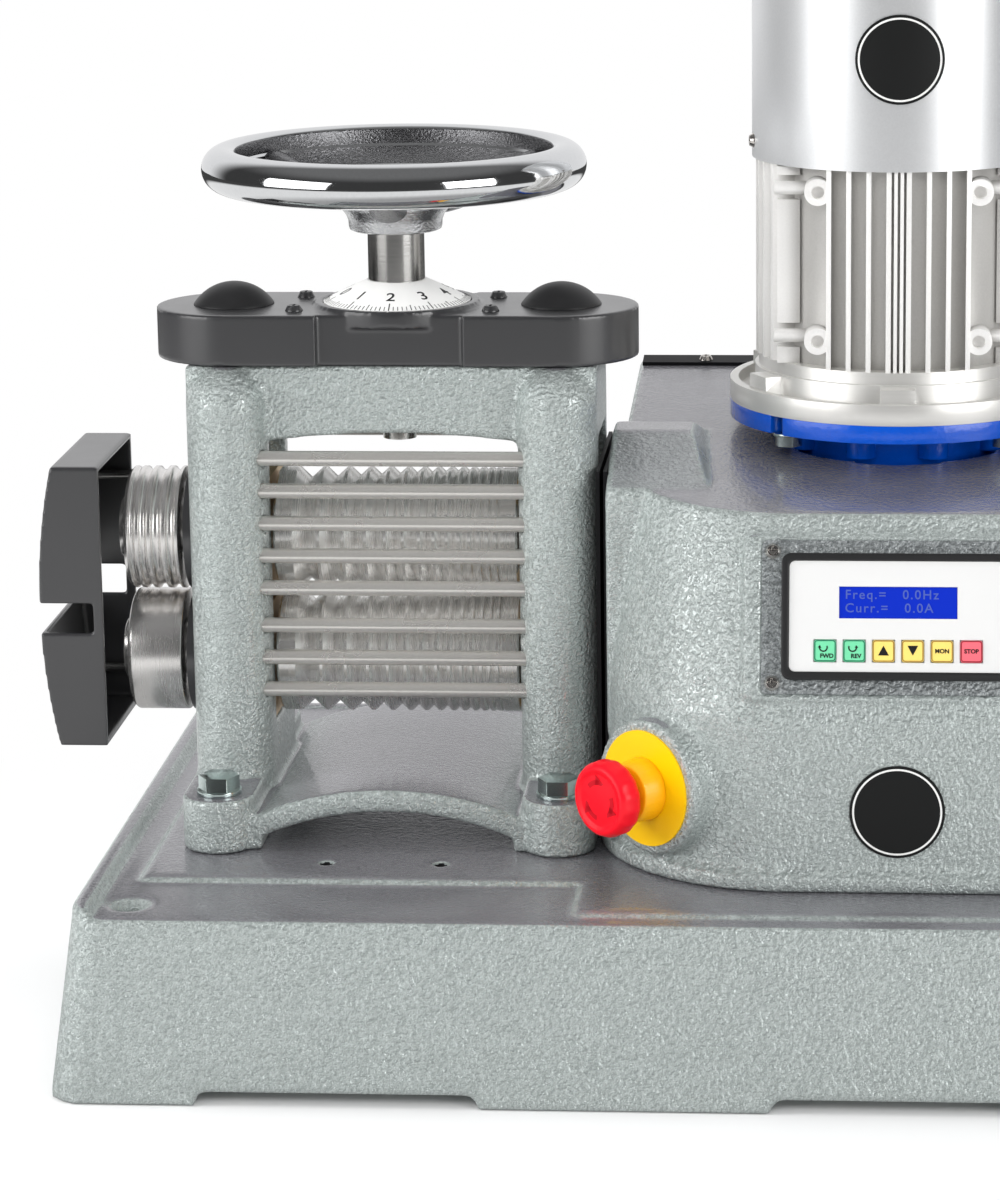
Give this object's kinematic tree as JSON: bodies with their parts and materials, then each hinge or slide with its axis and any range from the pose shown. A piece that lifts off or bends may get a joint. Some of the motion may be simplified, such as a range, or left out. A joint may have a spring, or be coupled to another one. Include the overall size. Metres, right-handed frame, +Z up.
{
  "type": "rolling mill",
  "caption": "Bench rolling mill: grooved wire rolls in a cast frame, handwheel for the roll gap, extension rolls, and a gear housing with keypad, stop button and vertical motor.",
  "frame": {"origin": "centre of the four hold-down holes at the underside of the base, on the bench", "axes": "+X along the base from the mill head to the motor, -Y to the front, +Z up"},
  "size_m": [0.653, 0.424, 0.5806],
  "materials": {
    "hammer_paint": "grey hammer-finish enamel",
    "zinc": "bright zinc plate",
    "bar_steel": "drawn steel",
    "bronze": "cast bearing bronze",
    "black_plastic": "satin black",
    "black_sheet": "satin black powder coat",
    "machine_steel": "machined",
    "roll_steel": "ground and hardened",
    "polished_steel": "polished",
    "cast_aluminium": "cast and brushed",
    "blue_paint": "gloss blue enamel",
    "panel_grey": "grey enamel",
    "white_face": "white printed film",
    "display_blue": "blue display window",
    "key_green": "pale green",
    "key_yellow": "pale yellow",
    "key_red": "pale red",
    "stop_yellow": "yellow",
    "stop_red": "signal red",
    "box_grey": "dark grey",
    "winding": "varnished laminations and copper"
  },
  "bodies": {
    "machine": {"base_casting": "hammer_paint", "mill_frame": "hammer_paint", "frame_bolts": "zinc", "guard_bars": "bar_steel", "lower_bearings": "bronze", "extension_plate": "black_plastic", "gear_cover": "black_plastic", "cover_caps": "black_plastic", "cover_screws": "black_sheet", "idler_pins": "machine_steel", "gear_guard": "black_sheet", "gear_housing": "hammer_paint", "rear_cover": "black_sheet", "housing_screws": "zinc", "panel_plate": "panel_grey", "keypad_bezel": "black_plastic", "keypad_face": "white_face", "lcd_screen": "display_blue", "speed_drive": "box_grey", "stop_legend": "stop_yellow", "stop_collar": "stop_yellow", "reducer_case": "blue_paint", "shaft_bearings": "machine_steel", "motor_flange": "cast_aluminium", "motor_barrel": "cast_aluminium", "motor_cover": "polished_steel", "motor_stator": "winding", "hex_bolts": "zinc", "badge_discs": "black_plastic", "cable_gland": "black_plastic"},
    "handwheel": {"handwheel": "polished_steel", "wheel_spindle": "polished_steel", "wheel_dial": "white_face", "centre_pinion": "machine_steel"},
    "left_idler": {"left_idler": "machine_steel"},
    "right_idler": {"right_idler": "machine_steel"},
    "carriage": {"upper_bearings": "bronze"},
    "left_screw": {"left_screw": "machine_steel"},
    "right_screw": {"right_screw": "machine_steel"},
    "lower_roll": {"lower_roll": "roll_steel", "lower_extension_roll": "roll_steel", "lower_roll_gear": "machine_steel", "drive_shaft": "machine_steel", "worm_wheel": "bronze"},
    "upper_roll": {"upper_roll": "roll_steel", "upper_extension_roll": "roll_steel", "upper_roll_gear": "machine_steel"},
    "motor_rotor": {"motor_shaft": "machine_steel", "motor_rotor": "machine_steel", "motor_fan": "black_plastic"},
    "stop_plunger": {"stop_plunger": "machine_steel"},
    "stop_head": {"stop_head": "stop_red"},
    "extension_guard": {"extension_guard": "black_plastic", "guard_rods": "polished_steel"},
    "key_forward": {"key_forward": "key_green"},
    "key_reverse": {"key_reverse": "key_green"},
    "key_faster": {"key_faster": "key_yellow"},
    "key_slower": {"key_slower": "key_yellow"},
    "key_mode": {"key_mode": "key_yellow"},
    "key_stop": {"key_stop": "key_red"}
  },
  "joints": [
    {"name": "handwheel_turn", "type": "hinge", "parent": "machine", "child": "handwheel", "pos_m": [-0.152, 0, 0.3715], "axis": [0, 0, 1], "range_deg": [-216, 900]},
    {"name": "left_idler_turn", "type": "hinge", "parent": "machine", "child": "left_idler", "pos_m": [-0.19575, 0, 0.3445], "axis": [0, 0, 1], "range_deg": [-2250, 540]},
    {"name": "right_idler_turn", "type": "hinge", "parent": "machine", "child": "right_idler", "pos_m": [-0.10825, 0, 0.3445], "axis": [0, 0, 1], "range_deg": [-2250, 540]},
    {"name": "roll_lift", "type": "slide", "parent": "machine", "child": "carriage", "axis": [0, 0, 1], "range_m": [-0.0012, 0.005]},
    {"name": "left_screw_turn", "type": "hinge", "parent": "carriage", "child": "left_screw", "pos_m": [-0.2395, 0, 0.3445], "axis": [0, 0, 1], "range_deg": [-216, 900]},
    {"name": "right_screw_turn", "type": "hinge", "parent": "carriage", "child": "right_screw", "pos_m": [-0.0645, 0, 0.3445], "axis": [0, 0, 1], "range_deg": [-216, 900]},
    {"name": "motor_turn", "type": "hinge", "parent": "machine", "child": "motor_rotor", "pos_m": [0.1135, 0.045, 0.3401], "axis": [0, 0, 1], "continuous": true},
    {"name": "lower_roll_turn", "type": "hinge", "parent": "machine", "child": "lower_roll", "pos_m": [-0.152, 0, 0.182], "axis": [1, 0, 0], "continuous": true},
    {"name": "upper_roll_turn", "type": "hinge", "parent": "carriage", "child": "upper_roll", "pos_m": [-0.152, 0, 0.2495], "axis": [1, 0, 0], "continuous": true},
    {"name": "stop_press", "type": "slide", "parent": "machine", "child": "stop_plunger", "axis": [0.682, 0.7314, 0], "range_m": [0, 0.0045]},
    {"name": "stop_twist", "type": "hinge", "parent": "stop_plunger", "child": "stop_head", "pos_m": [-0.00729, -0.12448, 0.144], "axis": [-0.682, -0.7314, 0], "range_deg": [-30, 0], "stiffness_Nm_per_rad": 0.05},
    {"name": "guard_slide", "type": "slide", "parent": "machine", "child": "extension_guard", "axis": [1, 0, 0], "range_m": [0, 0.03]},
    {"name": "key_forward_press", "type": "slide", "parent": "machine", "child": "key_forward", "axis": [0, 0.9272, -0.3746], "range_m": [0, 0.0005], "stiffness_N_per_m": 2000},
    {"name": "key_reverse_press", "type": "slide", "parent": "machine", "child": "key_reverse", "axis": [0, 0.9272, -0.3746], "range_m": [0, 0.0005], "stiffness_N_per_m": 2000},
    {"name": "key_faster_press", "type": "slide", "parent": "machine", "child": "key_faster", "axis": [0, 0.9272, -0.3746], "range_m": [0, 0.0005], "stiffness_N_per_m": 2000},
    {"name": "key_slower_press", "type": "slide", "parent": "machine", "child": "key_slower", "axis": [0, 0.9272, -0.3746], "range_m": [0, 0.0005], "stiffness_N_per_m": 2000},
    {"name": "key_mode_press", "type": "slide", "parent": "machine", "child": "key_mode", "axis": [0, 0.9272, -0.3746], "range_m": [0, 0.0005], "stiffness_N_per_m": 2000},
    {"name": "key_stop_press", "type": "slide", "parent": "machine", "child": "key_stop", "axis": [0, 0.9272, -0.3746], "range_m": [0, 0.0005], "stiffness_N_per_m": 2000}
  ],
  "couplings": [
    {"joint": "left_idler_turn", "follows": "handwheel_turn", "ratio": -2.5},
    {"joint": "right_idler_turn", "follows": "handwheel_turn", "ratio": -2.5},
    {"joint": "left_screw_turn", "follows": "handwheel_turn", "ratio": 1},
    {"joint": "right_screw_turn", "follows": "handwheel_turn", "ratio": 1},
    {"joint": "roll_lift", "follows": "handwheel_turn", "m_per_rad": 0.00031831},
    {"joint": "lower_roll_turn", "follows": "motor_turn", "ratio": 0.033333},
    {"joint": "upper_roll_turn", "follows": "motor_turn", "ratio": -0.033333}
  ]
}
